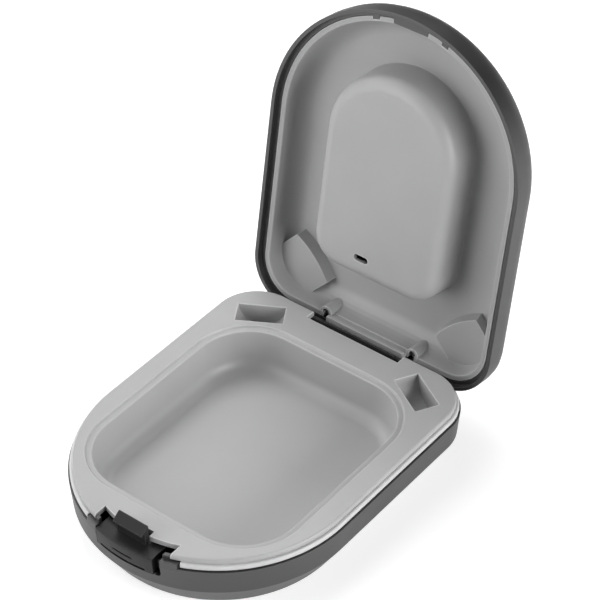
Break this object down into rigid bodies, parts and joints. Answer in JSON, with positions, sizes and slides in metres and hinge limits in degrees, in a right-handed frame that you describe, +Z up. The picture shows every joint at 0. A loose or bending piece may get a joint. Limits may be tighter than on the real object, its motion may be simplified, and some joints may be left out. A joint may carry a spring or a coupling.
{
  "type": "hearing aid case",
  "caption": "Hard clamshell case for hearing aids: dark shells with pale inner trays, a pocket, battery slots, a hinged lid with a raised pod and a sprung push latch.",
  "frame": {"origin": "middle of the flat underside of the base", "axes": "+X along the hinge to the right of someone facing the latch, +Y from the latch to the hinge, +Z up"},
  "size_m": [0.075, 0.1219, 0.1059],
  "materials": {
    "shell": "fine satin texture",
    "tray": "fine satin texture",
    "seal": "smooth satin",
    "latch": "satin",
    "steel": "drawn wire"
  },
  "bodies": {
    "base": {"base_shell": "shell", "base_tray": "tray", "seal_left": "seal", "seal_right": "seal", "hinge_pin": "steel", "latch_spring_left": "steel", "latch_spring_right": "steel"},
    "lid": {"lid_shell": "shell", "lid_liner": "tray"},
    "latch": {"latch_button": "latch"}
  },
  "joints": [
    {"name": "lid_hinge", "type": "hinge", "parent": "base", "child": "lid", "pos_m": [0, 0.0458, 0.01435], "axis": [1, 0, 0], "range_deg": [0, 99.5]},
    {"name": "latch_press", "type": "slide", "parent": "base", "child": "latch", "axis": [0, 1, 0], "range_m": [0, 0.0016], "stiffness_N_per_m": 600, "springref_m": -0.003, "deforming": ["latch_spring_left", "latch_spring_right"]}
  ]
}
